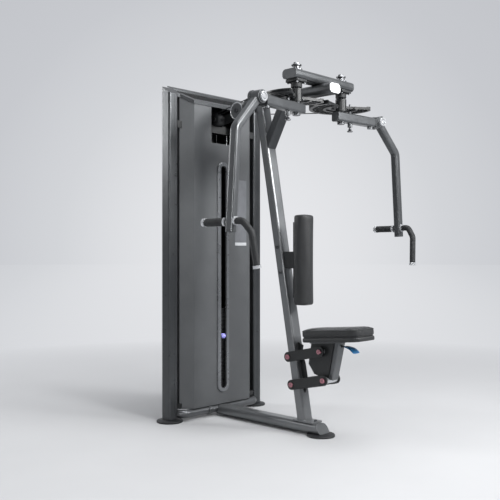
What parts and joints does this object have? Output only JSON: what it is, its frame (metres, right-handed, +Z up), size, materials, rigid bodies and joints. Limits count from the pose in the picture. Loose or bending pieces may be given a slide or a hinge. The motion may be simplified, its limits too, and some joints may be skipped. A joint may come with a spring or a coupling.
{
  "type": "pec deck machine",
  "caption": "Selectorised chest and rear shoulder fly machine: weight tower, overhead cams, two hanging swing arms with grips, upright chest pad and height-adjustable seat.",
  "frame": {"origin": "centre of the footprint on the floor", "axes": "+Z up; -Y is the user's side with the seat; the weight tower is at the +Y back; +X is the machine's own left as a user faces the tower's front from the seat side's far end"},
  "size_m": [1.4528, 1.2071, 1.945],
  "materials": {
    "frame_paint": "satin metallic",
    "shroud_panel": "satin",
    "black_paint": "semi-gloss",
    "black_plastic": "matte",
    "trim": "satin",
    "chrome": "polished",
    "steel": "brushed",
    "rubber": "matte",
    "cable_sheath": "satin",
    "plate_iron": "painted cast",
    "pad_leather": "fine grain",
    "red_cap": "gloss",
    "blue_lever": "gloss",
    "violet_knob": "gloss"
  },
  "bodies": {
    "frame": {"arm_axles": "steel", "base_beam": "frame_paint", "base_cross_tube": "frame_paint", "beam_end_caps": "frame_paint", "chest_pad": "pad_leather", "chest_pad_bracket": "black_paint", "cross_bar": "frame_paint", "diagonal_brace": "frame_paint", "frame_bolts": "steel", "front_shroud": "shroud_panel", "guide_rods": "chrome", "head_beam": "black_paint", "levelling_feet": "black_plastic", "lock_quadrant": "black_paint", "pull_cables": "cable_sheath", "pulley_axles": "steel", "rear_bolt_caps": "red_cap", "rear_shroud": "shroud_panel", "resting_plates": "plate_iron", "slot_trim": "trim", "stack_base": "black_paint", "stack_bumpers": "rubber", "stack_cables": "cable_sheath", "tower_columns": "frame_paint", "tower_top_rim": "frame_paint", "upper_beam": "frame_paint", "upright": "frame_paint"},
    "selector": {"selector_pin": "chrome", "selector_knob": "violet_knob"},
    "lifted_stack": {"lifted_plates": "plate_iron", "top_plate": "plate_iron"},
    "tower_pulley_body": {"tower_pulley": "black_plastic"},
    "idler_body": {"idler_pulley": "frame_paint"},
    "beam_pulley_body": {"beam_pulley": "black_plastic"},
    "leg_pulley_body_left": {"leg_pulley_left": "black_plastic"},
    "leg_pulley_body_right": {"leg_pulley_right": "black_plastic"},
    "upper_link_pair": {"upper_links": "black_paint"},
    "lower_link_pair": {"lower_links": "black_paint"},
    "seat": {"seat_pad": "pad_leather", "seat_post": "frame_paint", "seat_side_plates": "black_paint", "seat_pivot_tubes": "chrome", "front_bolt_caps": "red_cap"},
    "lever": {"seat_lever": "blue_lever"},
    "arm_left": {"cam_left": "black_paint", "arm_tube_left": "frame_paint", "hinge_pin_left": "chrome"},
    "pin_left": {"lock_pin_left": "steel"},
    "swing_left": {"swing_arm_left": "frame_paint", "straight_grip_left": "rubber", "curved_grip_left": "rubber", "grip_rings_left": "chrome"},
    "arm_right": {"cam_right": "black_paint", "arm_tube_right": "frame_paint", "hinge_pin_right": "chrome"},
    "pin_right": {"lock_pin_right": "steel"},
    "swing_right": {"swing_arm_right": "frame_paint", "straight_grip_right": "rubber", "curved_grip_right": "rubber", "grip_rings_right": "chrome"}
  },
  "joints": [
    {"name": "stack_lift", "type": "slide", "parent": "frame", "child": "lifted_stack", "axis": [0, 0, 1], "range_m": [0, 0.18], "deforming": ["stack_cables"]},
    {"name": "selector_pull", "type": "slide", "parent": "lifted_stack", "child": "selector", "axis": [0, -1, 0], "range_m": [0, 0.08]},
    {"name": "arm_close_right", "type": "hinge", "parent": "frame", "child": "arm_right", "pos_m": [0.1863, -0.2931, 1.7115], "axis": [0, 0, -1], "range_deg": [0, 61]},
    {"name": "swing_out_right", "type": "hinge", "parent": "arm_right", "child": "swing_right", "pos_m": [0.49931, -0.31795, 1.718], "axis": [-0.0792, -0.9969, 0], "range_deg": [0, 12]},
    {"name": "lock_pin_pull_right", "type": "slide", "parent": "arm_right", "child": "pin_right", "axis": [0, 0, -1], "range_m": [0, 0.034], "stiffness_N_per_m": 300, "springref_m": -0.02},
    {"name": "arm_close_left", "type": "hinge", "parent": "frame", "child": "arm_left", "pos_m": [-0.1863, -0.2931, 1.7115], "axis": [0, 0, 1], "range_deg": [0, 61]},
    {"name": "swing_out_left", "type": "hinge", "parent": "arm_left", "child": "swing_left", "pos_m": [-0.49931, -0.31795, 1.718], "axis": [-0.0792, 0.9969, 0], "range_deg": [0, 12]},
    {"name": "lock_pin_pull_left", "type": "slide", "parent": "arm_left", "child": "pin_left", "axis": [0, 0, -1], "range_m": [0, 0.034], "stiffness_N_per_m": 300, "springref_m": -0.02},
    {"name": "tower_pulley_turn", "type": "hinge", "parent": "frame", "child": "tower_pulley_body", "pos_m": [0, 0.49275, 1.76832], "axis": [1, 0, 0], "range_deg": [0, 300]},
    {"name": "idler_turn", "type": "hinge", "parent": "frame", "child": "idler_body", "pos_m": [0, 0.3065, 1.79816], "axis": [1, 0, 0], "range_deg": [0, 255]},
    {"name": "beam_pulley_turn", "type": "hinge", "parent": "frame", "child": "beam_pulley_body", "pos_m": [0, 0.21525, 1.82392], "axis": [1, 0, 0], "range_deg": [0, 320]},
    {"name": "leg_pulley_turn_right", "type": "hinge", "parent": "frame", "child": "leg_pulley_body_right", "pos_m": [0.03557, 0.16326, 1.79175], "axis": [-0.7772, -0.6292, 0], "range_deg": [0, 420]},
    {"name": "leg_pulley_turn_left", "type": "hinge", "parent": "frame", "child": "leg_pulley_body_left", "pos_m": [-0.03557, 0.16326, 1.79175], "axis": [-0.7772, 0.6292, 0], "range_deg": [0, 420]},
    {"name": "seat_raise", "type": "hinge", "parent": "frame", "child": "upper_link_pair", "pos_m": [0, -0.1205, 0.406], "axis": [-1, 0, 0], "range_deg": [-16, 13]},
    {"name": "lower_link_turn", "type": "hinge", "parent": "frame", "child": "lower_link_pair", "pos_m": [0, -0.144, 0.2575], "axis": [-1, 0, 0], "range_deg": [-16, 13]},
    {"name": "seat_level", "type": "hinge", "parent": "upper_link_pair", "child": "seat", "pos_m": [0, -0.3375, 0.4535], "axis": [-1, 0, 0], "range_deg": [-13, 16]},
    {"name": "seat_lever_lift", "type": "hinge", "parent": "seat", "child": "lever", "pos_m": [0, -0.4175, 0.486], "axis": [-1, 0, 0], "range_deg": [0, 7], "stiffness_Nm_per_rad": 3, "springref_deg": -8.59}
  ],
  "couplings": [
    {"joint": "arm_close_right", "follows": "stack_lift", "rad_per_m": 5.8824},
    {"joint": "arm_close_left", "follows": "stack_lift", "rad_per_m": 5.8824},
    {"joint": "tower_pulley_turn", "follows": "stack_lift", "rad_per_m": 28.777},
    {"joint": "idler_turn", "follows": "stack_lift", "rad_per_m": 24.54},
    {"joint": "beam_pulley_turn", "follows": "stack_lift", "rad_per_m": 30.534},
    {"joint": "leg_pulley_turn_right", "follows": "stack_lift", "rad_per_m": 40.404},
    {"joint": "leg_pulley_turn_left", "follows": "stack_lift", "rad_per_m": 40.404},
    {"joint": "lower_link_turn", "follows": "seat_raise", "ratio": 1},
    {"joint": "seat_level", "follows": "seat_raise", "ratio": -1}
  ]
}
